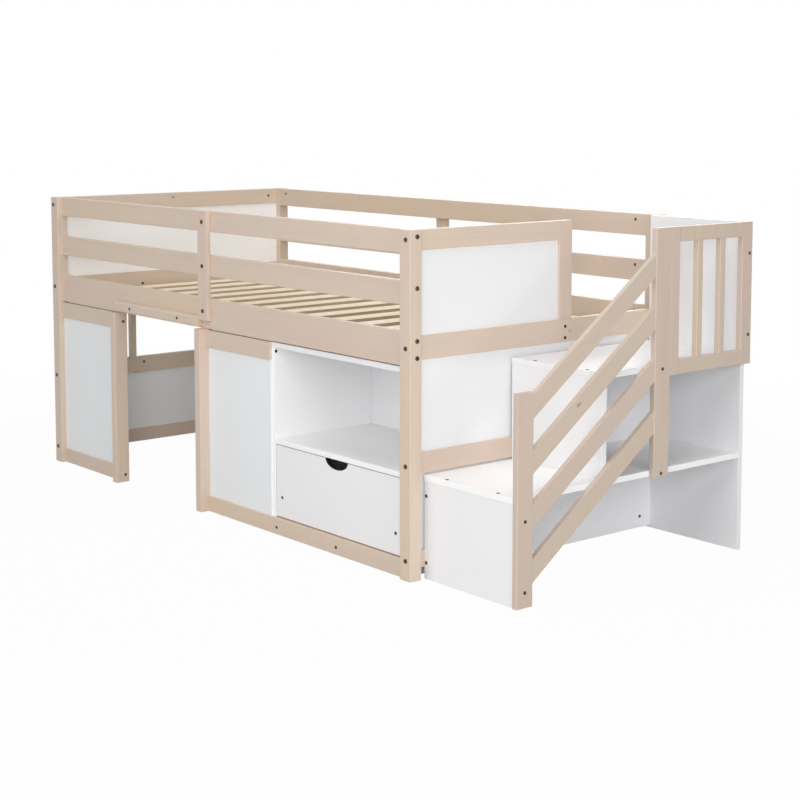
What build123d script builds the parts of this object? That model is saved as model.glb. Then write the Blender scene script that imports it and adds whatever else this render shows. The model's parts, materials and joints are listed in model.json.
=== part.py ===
from build123d import *
import os

# Low loft bed with a doorway, a cabinet with one drawer under the deck, and a stair box at the head end.
# Millimetres, +Z up. While it is built, X runs from the foot end face (0) to the head end face,
# Y from the front face of the corner posts (0) to the back. The export moves the origin to the middle
# of the floor under the whole object: +X is the stair end, -Y the side with the doorway and the drawer.

# Corner posts
bed_length = 2000.0
bed_width = 1000.0
post_height = 950.0
post_along = 45.0
post_across = 40.0

# Long rails of the front and back
long_rail_setback = 17.0
long_rail_thickness = 22.0
guard_top_height = 65.0
guard_mid_height = 66.0
guard_mid_bottom = 746.0
side_rail_top = 675.0
side_rail_height = 94.0

# Planks that tie the long rails together at mid length
plank_width = 53.0
plank_thickness = 15.0
plank_bottom = 608.0

# End frames
end_rail_setback = 8.0
end_rail_thickness = 22.0
end_top_height = 55.0
end_rail_bottom = 600.0
end_rail_height = 66.0
end_lower_bottom = 290.0
end_lower_height = 59.0
end_foot_bottom = 32.0
end_foot_height = 49.0
infill = 8.0
window_stile_front = 300.0
window_stile_width = 22.0
head_stile_front = 560.0
head_stile_width = 51.0

# Slat deck
slat_count = 15
slat_width = 68.0
slat_thickness = 13.0
slat_end_gap = 4.0
ledger_height = 20.0
ledger_thickness = 20.0

# Doorway and the low panels beside it
shadow_gap = 4.0
panel_setback = 14.0
panel_thickness = 20.0
panel_top_height = 54.0
panel_bottom_height = 50.0
door_start = 462.0
door_width = 495.0
door_post_width = 30.0
door_post_proud = 14.0
header_height = 34.0
header_lift = 6.0
header_rounding = 7.0

# White boards of the cabinet and the stair
board = 16.0
cabinet_start = 1325.0
cabinet_setback = 24.0
cabinet_inside_depth = 368.0
cabinet_back_thickness = 6.0
cabinet_floor_lift = 14.0
shelf_bottom = 272.0

# Drawer
drawer_gap = 3.0
drawer_setback = 2.0
drawer_front_lift = 3.0
drawer_side_height = 150.0
drawer_side_thickness = 16.0
drawer_depth = 330.0
drawer_bottom_thickness = 6.0
drawer_bottom_lift = 12.0
slide_room = 24.0
slide_height = 12.0
slide_lift = 60.0
slide_gap = 0.3
slide_side_gap = 1.0
finger_width = 106.0
finger_depth = 27.0

# Stair box
stair_width = 342.0
stair_tuck = 8.0
stair_front = 57.0
stair_back_gap = 3.0
stair_floor_gap = 8.0
step_top = 286.0
step_nose = 2.0
platform_top = 574.0
upper_riser_front = 378.0
corner_block = 28.0

# Handrail and guard on the open side of the stair
railing = 18.0
lower_post_front = 53.0
lower_post_width = 56.0
lower_post_top = 556.0
upper_post_front = 561.0
upper_post_width = 59.0
handrail_slats = 4
handrail_slat_width = 50.0
handrail_slat_thickness = 14.0
handrail_rise = 332.0
handrail_first = 90.0
handrail_last = 517.0
guard_bottom = 545.0
guard_rail_height = 41.0
guard_near_width = 36.0
guard_far_width = 44.0
guard_overhang = 5.0
guard_balusters = 2
guard_baluster_width = 22.0

# Fasteners
bolt_radius = 3.0
bolt_head_radius = 6.5
bolt_head_height = 2.5
bolt_socket = 2.6
nut_radius = 5.0
nut_length = 19.0
nut_reach = 42.0
bolt_depth = 7.0
blind_wall = 4.0
screw_radius = 2.0
screw_head_radius = 4.8
screw_head_height = 1.0
screw_bite = 30.0
short_bite = 12.0
hole_gap = 0.1
edge_round = 2.0
board_round = 0.8
cross_length = 4.6
cross_width = 1.0
cross_depth = 0.6

# Where the bolts sit, from the edges of the pieces they hold
guard_bolt_drop = 18.0
side_bolt_drop = 22.0
side_bolt_lift = 26.0
end_top_bolt_lift = 29.0
end_rail_bolt_lift = 33.0
end_lower_bolt_lift = 24.0
end_foot_bolt_lift = 23.0
window_nut_inset = 30.0
window_nut_lift = 21.0
window_nut_drop = 21.0
plank_top_bolt_drop = 34.0
plank_middle_bolt_lift = 32.0
plank_low_bolt_drop = 38.0

# Where the screws sit
header_screw_inset = 100.0
panel_screw_depth = 5.0
stile_screw_drop = 21.0
stile_screw_lift = 12.0
floor_screw_inset = 18.0
floor_screw_offset = 12.0
riser_screw_drop = 57.0
riser_screw_lift = 45.0
step_screw_left = 84.0
step_screw_right = 66.0
stair_side_screw_lift = 10.0
stair_side_screw_inset = 60.0
stair_back_screw_inset = 47.0
rail_screw_drop = 61.0
rail_screw_lift = 40.0
guard_screw_drop = 89.0
guard_screw_lift = 84.0
drawer_screw_lift = 60.0

# Levels and places that follow from the sizes above
post_inner = bed_length - post_along
rail_front = long_rail_setback
rail_inner = long_rail_setback + long_rail_thickness
side_rail_bottom = side_rail_top - side_rail_height
guard_top_bottom = post_height - guard_top_height
guard_mid_top = guard_mid_bottom + guard_mid_height
end_top_bottom = post_height - end_top_height
end_rail_top = end_rail_bottom + end_rail_height
end_lower_top = end_lower_bottom + end_lower_height
end_foot_top = end_foot_bottom + end_foot_height
end_back = bed_width - post_across
head_outer = bed_length - end_rail_setback
head_inner = head_outer - end_rail_thickness
foot_inner = end_rail_setback + end_rail_thickness
window_stile_back = window_stile_front + window_stile_width
head_stile_back = head_stile_front + head_stile_width
panel_top = side_rail_bottom - shadow_gap
panel_back = panel_setback + panel_thickness
panel_infill_front = panel_setback + (panel_thickness - infill) / 2
door_end = door_start + door_width
right_panel_start = door_end + door_post_width
header_bottom = side_rail_bottom + header_lift
plank_middle = door_end + plank_width / 2
cabinet_left = cabinet_start + board
cabinet_right = post_inner - board
cabinet_back = cabinet_setback + cabinet_inside_depth
cabinet_middle = (cabinet_left + cabinet_right) / 2
drawer_face = cabinet_setback + drawer_setback
drawer_bottom_edge = panel_bottom_height + drawer_front_lift
drawer_top_edge = shelf_bottom - drawer_gap
drawer_side_back = drawer_face + board + drawer_depth
slide_bottom = drawer_bottom_edge + slide_lift
stair_left = bed_length - stair_tuck
stair_right = bed_length + stair_width
stair_inner = stair_left + board
stair_back = end_back - stair_back_gap
step_bottom = step_top - board
platform_bottom = platform_top - board
stair_back_front = stair_back - board
riser_back = stair_front + board
upper_riser_back = upper_riser_front + board
railing_outer = stair_right + railing
lower_post_back = lower_post_front + lower_post_width
upper_post_back = upper_post_front + upper_post_width
guard_top = post_height
guard_end = stair_back + guard_overhang
guard_inner_start = upper_post_back + guard_near_width
guard_inner_end = guard_end - guard_far_width
foot_middle = end_rail_setback + end_rail_thickness / 2
head_middle = bed_length - foot_middle
panel_top_middle = panel_top - panel_top_height / 2
origin_x = (railing_outer + screw_head_height - bolt_head_height) / 2
origin_y = (bed_width + bolt_head_height - door_post_proud - screw_head_height) / 2

nodes = {}


def block(x, y, z):
    """A box from three (low, high) pairs."""
    size = [high - low for low, high in (x, y, z)]
    return Pos(x[0], y[0], z[0]) * Box(*size, align=(Align.MIN, Align.MIN, Align.MIN))


def timber(x, y, z):
    """A planed bar: a box whose four long edges are eased."""
    bar = block(x, y, z)
    lengths = [high - low for low, high in (x, y, z)]
    axis = (Axis.X, Axis.Y, Axis.Z)[lengths.index(max(lengths))]
    return fillet(bar.edges().filter_by(axis), edge_round)


def panel(x, y, z):
    """A coated board: a box whose edges are all slightly eased."""
    return fillet(block(x, y, z).edges(), board_round)


def mirrored_y(low, high):
    """The same span measured from the back of the bed."""
    return bed_width - high, bed_width - low


def mirrored_x(low, high):
    """The same span measured from the head end of the bed."""
    return bed_length - high, bed_length - low


def posts():
    along = (0, post_along)
    across = (0, post_across)
    height = (0, post_height)
    nodes["post_front_left"] = timber(along, across, height)
    nodes["post_front_right"] = timber(mirrored_x(*along), across, height)
    nodes["post_back_left"] = timber(along, mirrored_y(*across), height)
    nodes["post_back_right"] = timber(mirrored_x(*along), mirrored_y(*across), height)


def long_rails():
    length = (post_along, post_inner)
    plank_x = (plank_middle - plank_width / 2, plank_middle + plank_width / 2)
    plank_y = (rail_front - plank_thickness, rail_front)
    for side in ("front", "back"):
        rail_y = (rail_front, rail_inner) if side == "front" else mirrored_y(rail_front, rail_inner)
        face_y = plank_y if side == "front" else mirrored_y(*plank_y)
        top = timber(length, rail_y, (guard_top_bottom, post_height))
        middle = timber(length, rail_y, (guard_mid_bottom, guard_mid_top))
        nodes["guard_rails_" + side] = [top, middle]
        nodes["side_rail_" + side] = timber(length, rail_y, (side_rail_bottom, side_rail_top))
        nodes["guard_plank_" + side] = timber(plank_x, face_y, (plank_bottom, post_height))


def end_frames():
    across = (post_across, end_back)
    foot_x = (end_rail_setback, foot_inner)
    head_x = (head_inner, head_outer)
    infill_start = end_rail_setback + (end_rail_thickness - infill) / 2
    foot_infill_x = (infill_start, infill_start + infill)
    head_infill_x = mirrored_x(*foot_infill_x)
    top_z = (end_top_bottom, post_height)
    rail_z = (end_rail_bottom, end_rail_top)
    lower_z = (end_lower_bottom, end_lower_top)
    bottom_z = (end_foot_bottom, end_foot_top)
    stile_y = (window_stile_front, window_stile_back)
    nodes["foot_upper_rails"] = [timber(foot_x, across, top_z), timber(foot_x, across, rail_z)]
    nodes["foot_infill"] = block(foot_infill_x, across, (end_rail_top, end_top_bottom))
    nodes["foot_window_stile"] = timber(foot_x, stile_y, (end_lower_top, end_rail_bottom))
    nodes["foot_lower_rails"] = [timber(foot_x, across, lower_z), timber(foot_x, across, bottom_z)]
    nodes["foot_lower_infill"] = block(foot_infill_x, across, (end_foot_top, end_lower_bottom))
    to_stile = (post_across, head_stile_front)
    nodes["head_upper_rails"] = [timber(head_x, to_stile, top_z), timber(head_x, across, rail_z)]
    nodes["head_stile"] = timber(head_x, (head_stile_front, head_stile_back), (end_rail_top, post_height))
    nodes["head_infill"] = block(head_infill_x, to_stile, (end_rail_top, end_top_bottom))
    nodes["head_lower_infills"] = [
        block(head_infill_x, across, (end_lower_top, end_rail_bottom)),
        block(head_infill_x, across, (end_foot_top, end_lower_bottom)),
    ]
    nodes["head_lower_rails"] = [timber(head_x, across, lower_z), timber(head_x, across, bottom_z)]


def slat_deck():
    ledger_y = (rail_inner, rail_inner + ledger_thickness)
    ledger_z = (side_rail_bottom, side_rail_bottom + ledger_height)
    length = (post_along, post_inner)
    nodes["ledger_front"] = block(length, ledger_y, ledger_z)
    nodes["ledger_back"] = block(length, mirrored_y(*ledger_y), ledger_z)
    slat_y = (rail_inner + slat_end_gap, bed_width - rail_inner - slat_end_gap)
    slat_z = (ledger_z[1], ledger_z[1] + slat_thickness)
    room = post_inner - post_along - 2 * slat_end_gap - slat_width
    pitch = room / (slat_count - 1)
    starts = [post_along + slat_end_gap + pitch * i for i in range(slat_count)]
    nodes["slats"] = [timber((x, x + slat_width), slat_y, slat_z) for x in starts]


def front_panels():
    rail_y = (panel_setback, panel_back)
    infill_y = (panel_infill_front, panel_infill_front + infill)
    top_z = (panel_top - panel_top_height, panel_top)
    infill_z = (panel_bottom_height, top_z[0])
    bottom_z = (0, panel_bottom_height)
    left_x = (post_along, door_start - door_post_width)
    right_x = (right_panel_start, cabinet_start)
    nodes["left_panel_top_rail"] = timber(left_x, rail_y, top_z)
    nodes["left_panel_infill"] = block(left_x, infill_y, infill_z)
    nodes["left_panel_bottom_rail"] = timber(left_x, rail_y, bottom_z)
    nodes["right_panel_top_rail"] = timber(right_x, rail_y, top_z)
    nodes["right_panel_infill"] = block(right_x, infill_y, infill_z)
    nodes["front_bottom_rail"] = timber((right_panel_start, post_inner), rail_y, bottom_z)
    post_y = (-door_post_proud, panel_back)
    post_z = (0, side_rail_bottom)
    nodes["door_post_left"] = timber((door_start - door_post_width, door_start), post_y, post_z)
    nodes["door_post_right"] = timber((door_end, right_panel_start), post_y, post_z)
    header_z = (header_bottom, header_bottom + header_height)
    header = block((door_start, door_end), (-door_post_proud, rail_front), header_z)
    front_edges = header.edges().filter_by(Axis.X).sort_by(Axis.Y)[:2]
    nodes["door_header"] = fillet(front_edges, header_rounding)


def cabinet():
    depth = (cabinet_setback, cabinet_back)
    inside = (cabinet_left, cabinet_right)
    side_z = (0, panel_top - board)
    # The sides are notched round the bottom rail that passes in front of them
    notch_y = (cabinet_setback, panel_back)
    for name, side_x in (
        ("cabinet_left_side", (cabinet_start, cabinet_left)),
        ("cabinet_right_side", (cabinet_right, post_inner)),
    ):
        nodes[name] = panel(side_x, depth, side_z) - block(side_x, notch_y, (0, panel_bottom_height))
    nodes["cabinet_top"] = panel((cabinet_start, post_inner), depth, (side_z[1], panel_top))
    nodes["cabinet_shelf"] = panel(inside, depth, (shelf_bottom, shelf_bottom + board))
    floor_z = (cabinet_floor_lift, cabinet_floor_lift + board)
    nodes["cabinet_bottom"] = panel(inside, (panel_back, cabinet_back), floor_z)
    back_y = (cabinet_back, cabinet_back + cabinet_back_thickness)
    nodes["cabinet_back"] = block((cabinet_start, post_inner), back_y, (cabinet_floor_lift, panel_top))


def drawer():
    front_x = (cabinet_left + drawer_gap, cabinet_right - drawer_gap)
    front_y = (drawer_face, drawer_face + board)
    front = panel(front_x, front_y, (drawer_bottom_edge, drawer_top_edge))
    # The finger cut-out is a flat half ellipse in the middle of the top edge
    outline = Plane.XZ * Ellipse(finger_width / 2, finger_depth)
    cutter = extrude(outline, amount=board, both=True)
    nodes["drawer_front"] = front - Pos(cabinet_middle, drawer_face + board / 2, drawer_top_edge) * cutter
    left = cabinet_left + slide_room
    right = cabinet_right - slide_room
    side_y = (drawer_face + board, drawer_side_back)
    side_z = (drawer_bottom_edge, drawer_bottom_edge + drawer_side_height)
    inner = (left + drawer_side_thickness, right - drawer_side_thickness)
    nodes["drawer_left_side"] = panel((left, inner[0]), side_y, side_z)
    nodes["drawer_right_side"] = panel((inner[1], right), side_y, side_z)
    back_y = (drawer_side_back - drawer_side_thickness, drawer_side_back)
    nodes["drawer_back"] = panel(inner, back_y, side_z)
    bottom_low = drawer_bottom_edge + drawer_bottom_lift
    bottom_y = (drawer_face + board, back_y[0])
    nodes["drawer_bottom"] = block(inner, bottom_y, (bottom_low, bottom_low + drawer_bottom_thickness))
    slide_z = (slide_bottom, slide_bottom + slide_height)
    runner_z = (slide_bottom - slide_gap - slide_height, slide_bottom - slide_gap)
    slide_x = (cabinet_left + slide_side_gap, left)
    runner_x = (cabinet_left, left - slide_side_gap)
    runner_y = (side_y[0], cabinet_back)
    mirror_x = cabinet_left + cabinet_right
    nodes["drawer_slides"] = [
        block(slide_x, side_y, slide_z),
        block((mirror_x - slide_x[1], mirror_x - slide_x[0]), side_y, slide_z),
    ]
    nodes["drawer_runners"] = [
        block(runner_x, runner_y, runner_z),
        block((mirror_x - runner_x[1], mirror_x - runner_x[0]), runner_y, runner_z),
    ]


def stair():
    side_x = (stair_left, stair_inner)
    width = (stair_left, stair_right)
    back_y = (stair_back_front, stair_back)
    lower_z = (stair_floor_gap, step_bottom)
    nodes["stair_lower_side"] = panel(side_x, (riser_back, stair_back_front), lower_z)
    riser = panel(width, (stair_front, riser_back), (0, step_bottom))
    glue_block = block(
        (stair_right - corner_block, stair_right),
        (riser_back, riser_back + corner_block),
        lower_z,
    )
    nodes["stair_lower_riser"] = [riser, glue_block]
    step_y = (stair_front - step_nose, stair_back_front)
    nodes["stair_step"] = panel(width, step_y, (step_bottom, step_top))
    upper_z = (step_top, platform_bottom)
    nodes["stair_upper_side"] = panel(side_x, (upper_riser_back, stair_back_front), upper_z)
    nodes["stair_upper_riser"] = panel(width, (upper_riser_front, upper_riser_back), upper_z)
    platform_y = (upper_riser_front - step_nose, stair_back_front)
    nodes["stair_platform"] = panel(width, platform_y, (platform_bottom, platform_top))
    nodes["stair_back_panel"] = panel(width, back_y, (0, post_height))


def railings():
    wall = (stair_right, railing_outer)
    lower_y = (lower_post_front, lower_post_back)
    upper_y = (upper_post_front, upper_post_back)
    nodes["handrail_lower_post"] = timber(wall, lower_y, (0, lower_post_top))
    nodes["handrail_upper_post"] = timber(wall, upper_y, (step_bottom, post_height))
    # Each sloping slat is a parallelogram between the two posts
    run = upper_post_front - lower_post_back
    slope = (run ** 2 + handrail_rise ** 2) ** 0.5
    half = handrail_slat_width * slope / run / 2
    rise_step = (handrail_last - handrail_first) / (handrail_slats - 1)
    slat_x = stair_right + (railing - handrail_slat_thickness) / 2
    slats = []
    for i in range(handrail_slats):
        low = handrail_first + rise_step * i
        high = low + handrail_rise
        corners = [
            (lower_post_back, low - half),
            (upper_post_front, high - half),
            (upper_post_front, high + half),
            (lower_post_back, low + half),
        ]
        face = Plane.YZ.offset(slat_x) * make_face(Polyline(*corners, close=True))
        slats.append(extrude(face, amount=handrail_slat_thickness))
    nodes["handrail_slats"] = slats
    whole = (guard_bottom, guard_top)
    clear = (guard_bottom + guard_rail_height, guard_top - guard_rail_height)
    between = (guard_inner_start, guard_inner_end)
    guard = [
        timber(wall, (upper_post_back, guard_inner_start), whole),
        timber(wall, (guard_inner_end, guard_end), whole),
        timber(wall, between, (guard_bottom, clear[0])),
        timber(wall, between, (clear[1], guard_top)),
    ]
    free = guard_inner_end - guard_inner_start - guard_balusters * guard_baluster_width
    space = free / (guard_balusters + 1)
    for i in range(guard_balusters):
        start = guard_inner_start + space * (i + 1) + guard_baluster_width * i
        guard.append(timber(wall, (start, start + guard_baluster_width), clear))
    nodes["platform_guard"] = guard


low_end = (Align.CENTER, Align.CENTER, Align.MIN)
high_end = (Align.CENTER, Align.CENTER, Align.MAX)


def drill(place, radius, length):
    """A hole that starts at a face and runs inward, kept for the cutting at the end."""
    return place * Cylinder(radius, length, align=high_end)


def reaches(hole_box, box):
    """Whether two bounding boxes meet."""
    spans = zip(hole_box.min, hole_box.max, box.min, box.max)
    return all(low < hole_high and high > hole_low for hole_low, hole_high, low, high in spans)


def cut_holes(names, holes):
    """Takes each hole out of every solid of the named nodes that it reaches."""
    boxed = [(hole, hole.bounding_box()) for hole in holes]
    for name in names:
        piece = nodes[name]
        solids = piece if isinstance(piece, list) else [piece]
        cut = []
        for solid in solids:
            box = solid.bounding_box()
            near = [hole for hole, hole_box in boxed if reaches(hole_box, box)]
            cut.append(solid - near if near else solid)
        nodes[name] = cut if isinstance(piece, list) else cut[0]


def bolt(place, length):
    """A dark furniture bolt: its head stands on the face, its shank runs inward."""
    head = Cylinder(bolt_head_radius, bolt_head_height, align=low_end)
    head = fillet(head.edges().sort_by(Axis.Z)[-1:], bolt_head_height / 2)
    socket = extrude(RegularPolygon(bolt_socket, 6), bolt_head_height)
    shank = Cylinder(bolt_radius, length, align=high_end)
    return place * (head - Pos(0, 0, bolt_head_height / 3) * socket + shank)


def screw(place, length):
    """A small dark screw with a cross recess in its flat head."""
    head = Cylinder(screw_head_radius, screw_head_height, align=low_end)
    bars = Box(cross_length, cross_width, cross_depth, align=high_end)
    bars += Box(cross_width, cross_length, cross_depth, align=high_end)
    shank = Cylinder(screw_radius, length, align=high_end)
    return place * (head + shank - Pos(0, 0, screw_head_height) * bars)


to_foot = (-1, 0, 0)
to_head = (1, 0, 0)
to_front = (0, -1, 0)
to_back = (0, 1, 0)


def post_joints():
    """The bolts through the corner posts, each with the nut that it draws on in the rail."""
    bolts = []
    nuts = []
    long_bolt = post_along + nut_reach + nut_radius
    long_levels = [
        post_height - guard_bolt_drop,
        guard_mid_top - guard_bolt_drop,
        side_rail_top - side_bolt_drop,
        side_rail_bottom + side_bolt_lift,
    ]
    bolt_y = rail_front + bolt_depth
    for y, nut_y, inward in (
        (bolt_y, rail_inner, to_back),
        (bed_width - bolt_y, bed_width - rail_inner, to_front),
    ):
        for x, nut_x, outward in (
            (0, post_along + nut_reach, to_foot),
            (bed_length, post_inner - nut_reach, to_head),
        ):
            for z in long_levels:
                bolts.append((Plane((x, y, z), z_dir=outward), long_bolt))
                nuts.append(Plane((nut_x, nut_y, z), z_dir=inward))
    end_bolt = post_across + nut_reach + nut_radius
    end_levels = [
        end_top_bottom + end_top_bolt_lift,
        end_rail_bottom + end_rail_bolt_lift,
        end_lower_bottom + end_lower_bolt_lift,
        end_foot_bottom + end_foot_bolt_lift,
    ]
    for x, nut_x, inward in ((foot_middle, foot_inner, to_head), (head_middle, head_inner, to_foot)):
        for y, nut_y, outward in (
            (0, post_across + nut_reach, to_front),
            (bed_width, end_back - nut_reach, to_back),
        ):
            # The top rail of the head end stops at the stile, so its back post has no bolt up there
            open_corner = x == head_middle and outward == to_back
            for z in end_levels[1:] if open_corner else end_levels:
                bolts.append((Plane((x, y, z), z_dir=outward), end_bolt))
                nuts.append(Plane((nut_x, nut_y, z), z_dir=inward))
    return bolts, nuts


def plank_bolts():
    bolts = []
    plank_levels = [
        post_height - plank_top_bolt_drop,
        guard_mid_bottom + plank_middle_bolt_lift,
        side_rail_top - plank_low_bolt_drop,
    ]
    plank_bolt = plank_thickness + long_rail_thickness - blind_wall
    for y, outward in (
        (rail_front - plank_thickness, to_front),
        (bed_width - rail_front + plank_thickness, to_back),
    ):
        for z in plank_levels:
            bolts.append((Plane((plank_middle, y, z), z_dir=outward), plank_bolt))
    return bolts


def bolts_and_nuts():
    bolts, nuts = post_joints()
    bolts += plank_bolts()
    # Two more nuts sit beside the window stile of the foot end
    for z in (end_rail_bottom + window_nut_lift, end_lower_top - window_nut_drop):
        nuts.append(Plane((foot_inner, window_stile_back + window_nut_inset, z), z_dir=to_head))
    nut_cylinders = [drill(place, nut_radius, nut_length) for place in nuts]
    cut_holes(list(nodes), nut_cylinders)
    nodes["barrel_nuts"] = nut_cylinders
    bolt_holes = [drill(place, bolt_radius + hole_gap, length + hole_gap) for place, length in bolts]
    cut_holes(list(nodes), bolt_holes)
    nodes["frame_bolts"] = [bolt(place, length) for place, length in bolts]


def front_screws():
    """Screws of the door frame, the front panels and the cabinet floor."""
    places = []
    header_middle = header_bottom + header_height / 2
    header_length = door_post_proud + rail_front + short_bite
    for x in (door_start + header_screw_inset, door_end - header_screw_inset):
        places.append((Plane((x, -door_post_proud, header_middle), z_dir=to_front), header_length))
    panel_y = panel_setback + panel_screw_depth
    for z in (panel_top_middle, panel_bottom_height / 2):
        for x, outward in ((door_start, to_head), (door_end, to_foot)):
            places.append((Plane((x, panel_y, z), z_dir=outward), door_post_width + screw_bite))
    floor_middle = cabinet_floor_lift + board / 2
    for x in (cabinet_left + floor_screw_inset, cabinet_middle + floor_screw_offset):
        places.append((Plane((x, panel_setback, floor_middle), z_dir=to_front), panel_thickness + screw_bite))
    side_place = Plane((cabinet_left, panel_back - panel_screw_depth, panel_top_middle), z_dir=to_head)
    places.append((side_place, board + screw_bite))
    return places


def stair_screws():
    places = []
    side_middle = stair_left + board / 2
    for z in (step_top - riser_screw_drop, riser_screw_lift):
        places.append((Plane((side_middle, stair_front, z), z_dir=to_front), board + screw_bite))
    for x in (stair_left + step_screw_left, stair_right - step_screw_right):
        for y, z in ((stair_front, step_top), (upper_riser_front, platform_top)):
            places.append((Plane((x, y + board / 2, z), z_dir=(0, 0, 1)), board + screw_bite))
    side_screw_z = end_foot_bottom + stair_side_screw_lift
    for y in (riser_back + stair_side_screw_inset, stair_back_front - stair_back_screw_inset):
        place = Plane((stair_inner, y, side_screw_z), z_dir=to_head)
        places.append((place, board + end_rail_thickness - blind_wall))
    return places


def head_stile_screws():
    y = (head_stile_front + head_stile_back) / 2
    levels = (end_rail_top - stile_screw_drop, end_rail_bottom + stile_screw_lift)
    return [(Plane((head_outer, y, z), z_dir=to_head), end_rail_thickness - blind_wall) for z in levels]


def railing_screws():
    lower_middle = (lower_post_front + lower_post_back) / 2
    upper_middle = (upper_post_front + upper_post_back) / 2
    back_middle = (stair_back_front + stair_back) / 2
    spots = [
        (lower_middle, step_top - rail_screw_drop),
        (lower_middle, rail_screw_lift),
        (upper_middle, platform_top - board / 2),
        (upper_middle, step_top - board / 2),
        (back_middle, guard_top - guard_screw_drop),
        (back_middle, guard_bottom + guard_screw_lift),
    ]
    return [(Plane((railing_outer, y, z), z_dir=to_head), railing + short_bite) for y, z in spots]


def drawer_front_screws():
    side_inset = slide_room + drawer_side_thickness / 2
    z = drawer_bottom_edge + drawer_screw_lift
    middles = (cabinet_left + side_inset, cabinet_right - side_inset)
    return [(Plane((x, drawer_face, z), z_dir=to_front), board + screw_bite) for x in middles]


def screws():
    fixed = front_screws() + stair_screws() + head_stile_screws() + railing_screws()
    moving = drawer_front_screws()
    boards = [name for name in nodes if name not in ("frame_bolts", "barrel_nuts")]
    places = fixed + moving
    screw_holes = [drill(place, screw_radius + hole_gap, length + hole_gap) for place, length in places]
    cut_holes(boards, screw_holes)
    nodes["screws"] = [screw(place, length) for place, length in fixed]
    nodes["drawer_screws"] = [screw(place, length) for place, length in moving]


posts()
long_rails()
end_frames()
slat_deck()
front_panels()
cabinet()
drawer()
stair()
railings()
bolts_and_nuts()
screws()

os.makedirs("parts", exist_ok=True)
to_origin = Pos(-origin_x, -origin_y, 0)
for name, piece in nodes.items():
    solids = piece if isinstance(piece, list) else [piece]
    flat = [solid for item in solids for solid in (to_origin * item).solids()]
    shape = Compound(children=flat) if len(flat) > 1 else flat[0]
    export_step(shape, f"parts/{name}.step")
print(len(nodes), "nodes")
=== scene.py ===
import json
import math

import bpy
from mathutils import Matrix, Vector


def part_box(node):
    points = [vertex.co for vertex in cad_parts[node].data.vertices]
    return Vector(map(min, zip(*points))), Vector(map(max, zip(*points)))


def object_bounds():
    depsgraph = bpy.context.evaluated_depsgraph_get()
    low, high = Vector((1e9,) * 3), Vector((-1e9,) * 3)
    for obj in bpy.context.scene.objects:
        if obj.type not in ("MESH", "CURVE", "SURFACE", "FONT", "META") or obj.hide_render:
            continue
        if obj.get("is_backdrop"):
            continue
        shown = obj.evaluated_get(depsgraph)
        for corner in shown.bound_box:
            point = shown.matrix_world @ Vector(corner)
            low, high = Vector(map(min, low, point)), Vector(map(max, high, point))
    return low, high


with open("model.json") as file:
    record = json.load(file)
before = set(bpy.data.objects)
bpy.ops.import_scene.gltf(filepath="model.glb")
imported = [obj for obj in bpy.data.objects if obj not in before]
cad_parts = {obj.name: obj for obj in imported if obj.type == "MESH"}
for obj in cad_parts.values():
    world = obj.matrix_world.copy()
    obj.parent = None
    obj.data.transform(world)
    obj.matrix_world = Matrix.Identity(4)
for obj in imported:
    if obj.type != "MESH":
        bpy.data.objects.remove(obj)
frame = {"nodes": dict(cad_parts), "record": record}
bpy.context.view_layer.update()
cadNodes = frame["nodes"]
slotOfNode = {part["node"]: part["material_slot"] for part in frame["record"]["subparts"]}
print("frame loaded,", len(cadNodes), "nodes")


# Small helpers for shader trees

def newMaterial(name):
    material = bpy.data.materials.new(name)
    material.use_nodes = True
    tree = material.node_tree
    tree.nodes.clear()
    output = tree.nodes.new("ShaderNodeOutputMaterial")
    surface = tree.nodes.new("ShaderNodeBsdfPrincipled")
    tree.links.new(surface.outputs["BSDF"], output.inputs["Surface"])
    return material, tree, surface


# Object coordinates, turned first and then stretched
def objectPoint(tree, scale, turn=(0, 0, 0)):
    coords = tree.nodes.new("ShaderNodeTexCoord")
    turned = tree.nodes.new("ShaderNodeMapping")
    turned.inputs["Rotation"].default_value = turn
    stretched = tree.nodes.new("ShaderNodeMapping")
    stretched.inputs["Scale"].default_value = scale
    tree.links.new(coords.outputs["Object"], turned.inputs["Vector"])
    tree.links.new(turned.outputs["Vector"], stretched.inputs["Vector"])
    return stretched.outputs["Vector"]


def noise(tree, point, detail=3.0, roughness=0.55, distortion=0.0):
    texture = tree.nodes.new("ShaderNodeTexNoise")
    texture.inputs["Scale"].default_value = 1.0
    texture.inputs["Detail"].default_value = detail
    texture.inputs["Roughness"].default_value = roughness
    texture.inputs["Distortion"].default_value = distortion
    tree.links.new(point, texture.inputs["Vector"])
    return texture.outputs["Fac"]


def ramp(tree, factor, stops):
    curve = tree.nodes.new("ShaderNodeValToRGB")
    points = curve.color_ramp.elements
    while len(points) < len(stops):
        points.new(0.5)
    for point, (position, colour) in zip(points, stops):
        point.position = position
        point.color = (*colour, 1.0)
    tree.links.new(factor, curve.inputs["Fac"])
    return curve.outputs["Color"]


def remap(tree, value, low, high):
    spread = tree.nodes.new("ShaderNodeMapRange")
    spread.inputs["To Min"].default_value = low
    spread.inputs["To Max"].default_value = high
    tree.links.new(value, spread.inputs["Value"])
    return spread.outputs["Result"]


def threshold(tree, value, low, high):
    step = tree.nodes.new("ShaderNodeMapRange")
    step.interpolation_type = "SMOOTHSTEP"
    step.inputs["From Min"].default_value = low
    step.inputs["From Max"].default_value = high
    tree.links.new(value, step.inputs["Value"])
    return step.outputs["Result"]


def combine(tree, operation, first, second):
    node = tree.nodes.new("ShaderNodeMath")
    node.operation = operation
    for socket, value in enumerate((first, second)):
        if hasattr(value, "is_linked"):
            tree.links.new(value, node.inputs[socket])
        else:
            node.inputs[socket].default_value = value
    return node.outputs[0]


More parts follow.
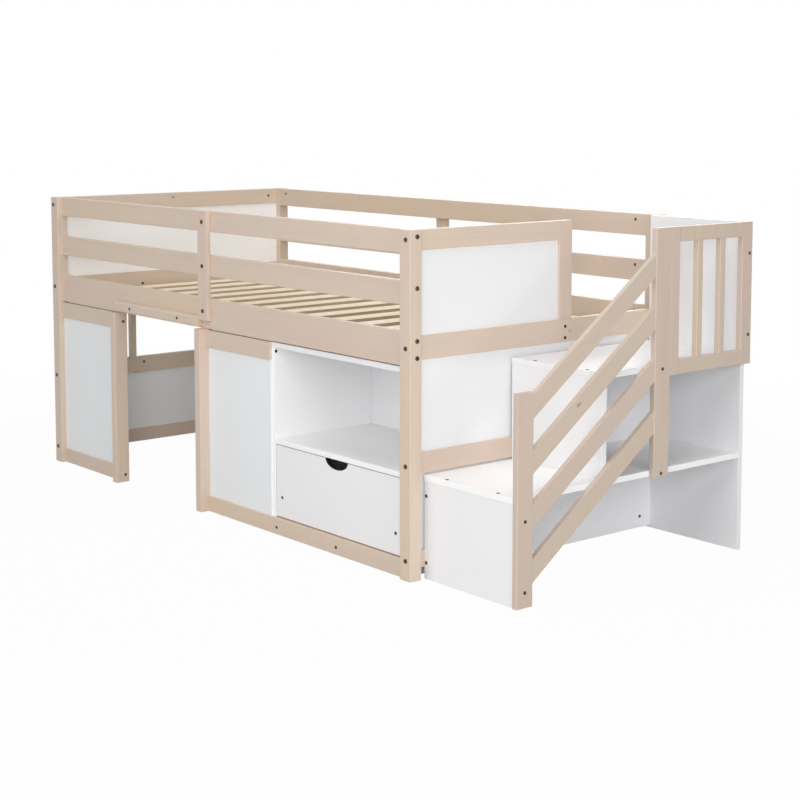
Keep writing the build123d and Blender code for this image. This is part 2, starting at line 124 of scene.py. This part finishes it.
def mixColours(tree, factor, first, second):
    mixer = tree.nodes.new("ShaderNodeMix")
    mixer.data_type = "RGBA"
    tree.links.new(factor, mixer.inputs[0])
    for value, socket in ((first, 6), (second, 7)):
        if hasattr(value, "is_linked"):
            tree.links.new(value, mixer.inputs[socket])
        else:
            mixer.inputs[socket].default_value = (*value, 1.0)
    return mixer.outputs[2]


def bump(tree, surface, height, strength, distance):
    relief = tree.nodes.new("ShaderNodeBump")
    relief.inputs["Strength"].default_value = strength
    relief.inputs["Distance"].default_value = distance
    tree.links.new(height, relief.inputs["Height"])
    tree.links.new(relief.outputs["Normal"], surface.inputs["Normal"])


# Timber, with its grain along one axis

grain = {  # pairs of pattern sizes are per metre, along the length and across it
    "tone": (0.9, 7.0),
    "toneStops": (0.34, 0.5, 0.66),
    "bands": (1.1, 38.0),
    "bandEdges": (0.42, 0.72),
    "bandWeight": 0.55,
    "lines": (5.0, 210.0),
    "lineEdges": (0.46, 0.74),
    "relief": (0.22, 0.0006),
}
knot = {"spacing": (7.0, 14.0), "edges": (0.085, 0.03), "rarity": (0.66, 0.68)}
washedTimber = {
    "pink": (0.665, 0.528, 0.446),
    "beige": (0.660, 0.548, 0.452),
    "straw": (0.680, 0.552, 0.430),
    "streak": (0.575, 0.455, 0.362),
    "knot": (0.40, 0.27, 0.18),
    "streakDepth": 0.26,
    "rough": (0.50, 0.66),
}
# Painted shade: the railing beside the stair gets a darker copy of the timber colour, standing in for the
# shade it is in
railingTimberPaintedShade = {
    **washedTimber,
    "pink": (0.602, 0.480, 0.406),
    "beige": (0.597, 0.498, 0.412),
    "straw": (0.612, 0.500, 0.392),
    "streak": (0.520, 0.414, 0.330),
}
slatTimber = {
    "pink": (0.900, 0.775, 0.575),
    "beige": (0.920, 0.805, 0.620),
    "straw": (0.925, 0.790, 0.570),
    "streak": (0.78, 0.60, 0.38),
    "knot": (0.46, 0.27, 0.14),
    "side": (0.56, 0.43, 0.29),  # painted shade on the sides between the slats
    "streakDepth": 0.40,
    "rough": (0.55, 0.70),
}


def pointAlong(tree, axis, size, turn):
    along, across = size
    return objectPoint(tree, [along if i == axis else across for i in range(3)], turn)


# Small round knots, kept only in the few cells whose random tone is high
def knots(tree, axis, turn):
    cells = tree.nodes.new("ShaderNodeTexVoronoi")
    cells.inputs["Scale"].default_value = 1.0
    tree.links.new(pointAlong(tree, axis, knot["spacing"], turn), cells.inputs["Vector"])
    eye = threshold(tree, cells.outputs["Distance"], *knot["edges"])
    chosen = threshold(tree, cells.outputs["Color"], *knot["rarity"])
    return combine(tree, "MULTIPLY", eye, chosen)


def timberMaterial(name, look, axis, turn=(0, 0, 0)):
    material, tree, surface = newMaterial(name)
    tone = noise(tree, pointAlong(tree, axis, grain["tone"], turn), 1.0)
    body = ramp(tree, tone, list(zip(grain["toneStops"], (look["pink"], look["beige"], look["straw"]))))
    bands = noise(tree, pointAlong(tree, axis, grain["bands"], turn), 2.0, 0.5, 0.6)
    lines = noise(tree, pointAlong(tree, axis, grain["lines"], turn), 4.0, 0.65, 0.2)
    bandMask = threshold(tree, bands, *grain["bandEdges"])
    lineMask = threshold(tree, lines, *grain["lineEdges"])
    streaks = combine(tree, "ADD", combine(tree, "MULTIPLY", bandMask, grain["bandWeight"]), lineMask)
    grained = mixColours(tree, remap(tree, streaks, 0.0, look["streakDepth"]), body, look["streak"])
    finished = mixColours(tree, knots(tree, axis, turn), grained, look["knot"])
    if "side" in look:  # painted shade on the faces that don't look up
        facing = tree.nodes.new("ShaderNodeNewGeometry")
        parts = tree.nodes.new("ShaderNodeSeparateXYZ")
        tree.links.new(facing.outputs["Normal"], parts.inputs["Vector"])
        sideShadeMask = threshold(tree, parts.outputs["Z"], 0.6, 0.2)
        finished = mixColours(tree, sideShadeMask, finished, look["side"])
    tree.links.new(finished, surface.inputs["Base Color"])
    surface.inputs["Specular IOR Level"].default_value = 0.35
    tree.links.new(remap(tree, lineMask, *look["rough"]), surface.inputs["Roughness"])
    bump(tree, surface, lines, *grain["relief"])
    return material


# Coated boards and painted panels

whiteBoard = {
    "colour": (0.862, 0.862, 0.876),
    "shade": (0.838, 0.838, 0.855),
    "rough": (0.34, 0.44),
    "grainSize": 420.0,
}
whiteInfill = {
    "colour": (0.838, 0.850, 0.862),
    "shade": (0.818, 0.829, 0.842),
    "rough": (0.46, 0.56),
    "grainSize": 240.0,
}
# Painted light: the cabinet's inner boards, the step and the foot panel get a brighter white than the
# other boards, standing in for the light they lack in their shade
paintedLightBoard = {
    **whiteBoard,
    "colour": (0.960, 0.960, 0.966),
    "shade": (0.945, 0.945, 0.953),
}
coating = {"cloudSize": 2.2, "cloudStops": (0.35, 0.6), "relief": (0.06, 0.0003)}


def coatedBoard(name, look):
    material, tree, surface = newMaterial(name)
    cloud = noise(tree, objectPoint(tree, (coating["cloudSize"],) * 3), 2.0)
    coat = ramp(tree, cloud, list(zip(coating["cloudStops"], (look["shade"], look["colour"]))))
    tree.links.new(coat, surface.inputs["Base Color"])
    pores = noise(tree, objectPoint(tree, (look["grainSize"],) * 3), 2.0)
    tree.links.new(remap(tree, pores, *look["rough"]), surface.inputs["Roughness"])
    surface.inputs["Specular IOR Level"].default_value = 0.4
    bump(tree, surface, pores, *coating["relief"])
    return material, tree, surface, coat


def boardMaterial(name, look):
    return coatedBoard(name, look)[0]


# The drawer front is a white board whose finger cut-out is painted near black inside: painted shade
# standing in for the dark of the hole

cutOutPaintedShade = {
    "halfWidth": 0.0535,
    "depth": 0.0275,
    "faceMargin": 0.0012,  # how far behind the face the painted shade starts
    "reach": 1.01,
    "colour": (0.012, 0.011, 0.011),
}


def drawerFrontMaterial(name, look, piece):
    material, tree, surface, coat = coatedBoard(name, look)
    corners = [Vector(corner) for corner in piece.bound_box]
    low = Vector(map(min, *corners))
    high = Vector(map(max, *corners))
    centre = Vector(((low.x + high.x) / 2, 0.0, high.z))
    fromCentre = tree.nodes.new("ShaderNodeVectorMath")
    fromCentre.operation = "SUBTRACT"
    tree.links.new(objectPoint(tree, (1, 1, 1)), fromCentre.inputs[0])
    fromCentre.inputs[1].default_value = centre
    squeezed = tree.nodes.new("ShaderNodeMapping")
    squeezed.inputs["Scale"].default_value = (1 / cutOutPaintedShade["halfWidth"], 0.0, 1 / cutOutPaintedShade["depth"])
    tree.links.new(fromCentre.outputs["Vector"], squeezed.inputs["Vector"])
    reach = tree.nodes.new("ShaderNodeVectorMath")
    reach.operation = "LENGTH"
    tree.links.new(squeezed.outputs["Vector"], reach.inputs[0])
    split = tree.nodes.new("ShaderNodeSeparateXYZ")
    tree.links.new(objectPoint(tree, (1, 1, 1)), split.inputs["Vector"])
    near = combine(tree, "LESS_THAN", reach.outputs["Value"], cutOutPaintedShade["reach"])
    behind = combine(tree, "GREATER_THAN", split.outputs["Y"], low.y + cutOutPaintedShade["faceMargin"])
    cutOutShadeMask = combine(tree, "MULTIPLY", near, behind)
    # Painted shade: the walls of the cut-out get the near-black colour
    tree.links.new(mixColours(tree, cutOutShadeMask, coat, cutOutPaintedShade["colour"]), surface.inputs["Base Color"])
    return material


# Dark bronze fasteners and white enamelled runners

darkMetal = {
    "colour": (0.070, 0.043, 0.031),
    "worn": (0.20, 0.14, 0.10),
    "metallic": 0.75,
    "rough": (0.32, 0.5),
}
runnerMetal = {
    "colour": (0.80, 0.80, 0.80),
    "worn": (0.70, 0.70, 0.71),
    "metallic": 0.1,
    "rough": (0.28, 0.4),
}
wear = {"patchSize": 160.0, "stops": (0.45, 0.75)}


def metalMaterial(name, look):
    material, tree, surface = newMaterial(name)
    patches = noise(tree, objectPoint(tree, (wear["patchSize"],) * 3), 3.0)
    coat = ramp(tree, patches, list(zip(wear["stops"], (look["colour"], look["worn"]))))
    tree.links.new(coat, surface.inputs["Base Color"])
    tree.links.new(remap(tree, patches, *look["rough"]), surface.inputs["Roughness"])
    surface.inputs["Metallic"].default_value = look["metallic"]
    return material


# The pitch of the sloping slats, from the face that looks up
def slopeOf(piece):
    upward = [face for face in piece.data.polygons if face.normal.z > 0.5]
    widest = max(upward, key=lambda face: face.area)
    return math.atan2(-widest.normal.y, widest.normal.z)


timberAlong = [timberMaterial("washedTimberAlong" + "XYZ"[axis], washedTimber, axis) for axis in range(3)]
slope = slopeOf(cadNodes["handrail_slats"])
# Painted shade: the railing's materials use the darker copy of the timber
railingSlopePaintedShade = timberMaterial("railingTimberPaintedShadeAlongSlope", railingTimberPaintedShade, 1, (-slope, 0, 0))
railingUprightPaintedShade = timberMaterial("railingTimberPaintedShadeAlongZ", railingTimberPaintedShade, 2)
# Painted light: a brighter copy of the white board for the boards that sit in shade
paintedLightWhite = boardMaterial("whiteBoardInside", paintedLightBoard)
ledgerTimber = timberMaterial("slatTimberAlongX", slatTimber, 0)
slatTimberY = timberMaterial("slatTimberAlongY", slatTimber, 1)
plainFinish = {
    "white_board": boardMaterial("whiteCoatedBoard", whiteBoard),
    "white_infill": boardMaterial("whitePaintedPanel", whiteInfill),
    "dark_metal": metalMaterial("darkBronze", darkMetal),
    "runner_metal": metalMaterial("whiteEnamel", runnerMetal),
}
ownFinish = {
    "handrail_slats": railingSlopePaintedShade,
    "handrail_lower_post": railingUprightPaintedShade,
    "handrail_upper_post": railingUprightPaintedShade,
    "platform_guard": railingUprightPaintedShade,
    "foot_window_stile": timberAlong[2],
    "head_stile": timberAlong[2],
    "slats": slatTimberY,
    "ledger_front": ledgerTimber,
    "ledger_back": ledgerTimber,
    "cabinet_left_side": paintedLightWhite,
    "cabinet_right_side": paintedLightWhite,
    "cabinet_shelf": paintedLightWhite,
    "cabinet_back": paintedLightWhite,
    "foot_infill": paintedLightWhite,
    "stair_step": paintedLightWhite,
    "drawer_front": drawerFrontMaterial("drawerFrontBoard", whiteBoard, cadNodes["drawer_front"]),
}


def finishOf(name):
    if name in ownFinish:
        return ownFinish[name]
    slot = slotOfNode[name]
    if slot in plainFinish:
        return plainFinish[slot]
    low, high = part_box(name)
    size = high - low
    return timberAlong[max(range(3), key=lambda i: size[i])]


for name, piece in cadNodes.items():
    piece.data.materials.clear()
    piece.data.materials.append(finishOf(name))
print("finishes given")


# Stage: a white floor that keeps a faint shadow, and an even white world

stage = {
    "floorSize": 60.0,
    "floorGlow": 0.97,
    "floorColour": 0.55,
    "worldLight": 0.12,
    "shadowReach": (1.5, 3.2),
}


# 1 where a camera, glossy or transmission ray looks, and 0 where light is gathered
def seenDirectly(tree):
    rays = tree.nodes.new("ShaderNodeLightPath")
    total = rays.outputs["Is Camera Ray"]
    for name in ("Is Glossy Ray", "Is Transmission Ray"):
        total = combine(tree, "MAXIMUM", total, rays.outputs[name])
    return total


def makeFloor():
    bpy.ops.object.select_all(action="DESELECT")
    bpy.ops.mesh.primitive_plane_add(size=stage["floorSize"], location=(0, 0, 0))
    floor = bpy.context.active_object
    floor.name = "studioFloor"
    material = bpy.data.materials.new("studioWhite")
    material.use_nodes = True
    tree = material.node_tree
    tree.nodes.clear()
    output = tree.nodes.new("ShaderNodeOutputMaterial")
    lit = tree.nodes.new("ShaderNodeBsdfDiffuse")
    lit.inputs["Color"].default_value = (stage["floorColour"],) * 3 + (1.0,)
    glow = tree.nodes.new("ShaderNodeEmission")
    # The shadow fades out away from the bed, so that the floor has no horizon
    distance = tree.nodes.new("ShaderNodeVectorMath")
    distance.operation = "LENGTH"
    tree.links.new(objectPoint(tree, (1, 1, 1)), distance.inputs[0])
    far = threshold(tree, distance.outputs["Value"], *stage["shadowReach"])
    white = remap(tree, far, stage["floorGlow"], 1.0)
    mixer = tree.nodes.new("ShaderNodeMixShader")
    tree.links.new(combine(tree, "MULTIPLY", seenDirectly(tree), white), mixer.inputs["Fac"])
    tree.links.new(lit.outputs["BSDF"], mixer.inputs[1])
    tree.links.new(glow.outputs["Emission"], mixer.inputs[2])
    tree.links.new(mixer.outputs["Shader"], output.inputs["Surface"])
    floor.data.materials.append(material)
    floor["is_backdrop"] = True


def makeWorld():
    world = bpy.data.worlds.new("studioWorld")
    bpy.context.scene.world = world
    world.use_nodes = True
    tree = world.node_tree
    tree.nodes.clear()
    output = tree.nodes.new("ShaderNodeOutputWorld")
    light = tree.nodes.new("ShaderNodeBackground")
    light.inputs["Strength"].default_value = stage["worldLight"]
    light.inputs["Color"].default_value = (1.0, 1.0, 1.0, 1.0)
    backdrop = tree.nodes.new("ShaderNodeBackground")
    backdrop.inputs["Color"].default_value = (1.0, 1.0, 1.0, 1.0)
    mixer = tree.nodes.new("ShaderNodeMixShader")
    tree.links.new(seenDirectly(tree), mixer.inputs["Fac"])
    tree.links.new(light.outputs["Background"], mixer.inputs[1])
    tree.links.new(backdrop.outputs["Background"], mixer.inputs[2])
    tree.links.new(mixer.outputs["Shader"], output.inputs["Surface"])


# Soft round lamps: head end, front, high front, overhead, beside the camera and behind the bed

lamps = {
    "key": {"place": (6.5, -1.0, 1.9), "size": 3.5, "power": 120.0},
    "front": {"place": (-1.0, -6.0, 1.5), "size": 4.0, "power": 76.0},
    "high": {"place": (2.5, -4.5, 4.5), "size": 3.5, "power": 115.0},
    "top": {"place": (0.6, 0.0, 5.2), "size": 4.5, "power": 105.0},
    "fill": {"place": (4.6, -3.8, 1.5), "size": 2.2, "power": 88.0},
    "back": {"place": (-4.2, 5.4, 2.6), "size": 4.0, "power": 190.0},
}


def makeLamps():
    low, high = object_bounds()
    middle = (low + high) / 2
    for name, lamp in lamps.items():
        data = bpy.data.lights.new(name + "Lamp", "AREA")
        data.shape = "DISK"
        data.size = lamp["size"]
        data.energy = lamp["power"]
        light = bpy.data.objects.new(name + "Lamp", data)
        light.location = lamp["place"]
        light.rotation_euler = (middle - Vector(lamp["place"])).to_track_quat("-Z", "Y").to_euler()
        light.visible_camera = False
        bpy.context.scene.collection.objects.link(light)


# The camera of the photograph, nearly level, with its frame moved down

camera = {
    "place": (4.1927, -3.2930, 1.2872),
    "turn": 0.8841,
    "tilt": 0.1,
    "lens": 75.136,
    "shift": -0.1635,
}


def makeCamera():
    data = bpy.data.cameras.new("photoCamera")
    data.lens = camera["lens"]
    data.sensor_width = 36.0
    data.shift_y = camera["shift"]
    data.clip_end = 200.0
    viewer = bpy.data.objects.new("photoCamera", data)
    viewer.location = camera["place"]
    viewer.rotation_euler = (math.pi / 2 - camera["tilt"], 0, camera["turn"])
    bpy.context.scene.collection.objects.link(viewer)
    bpy.context.scene.camera = viewer


makeFloor()
makeWorld()
makeLamps()
makeCamera()
bpy.context.scene.view_settings.view_transform = "Standard"
print("stage set")
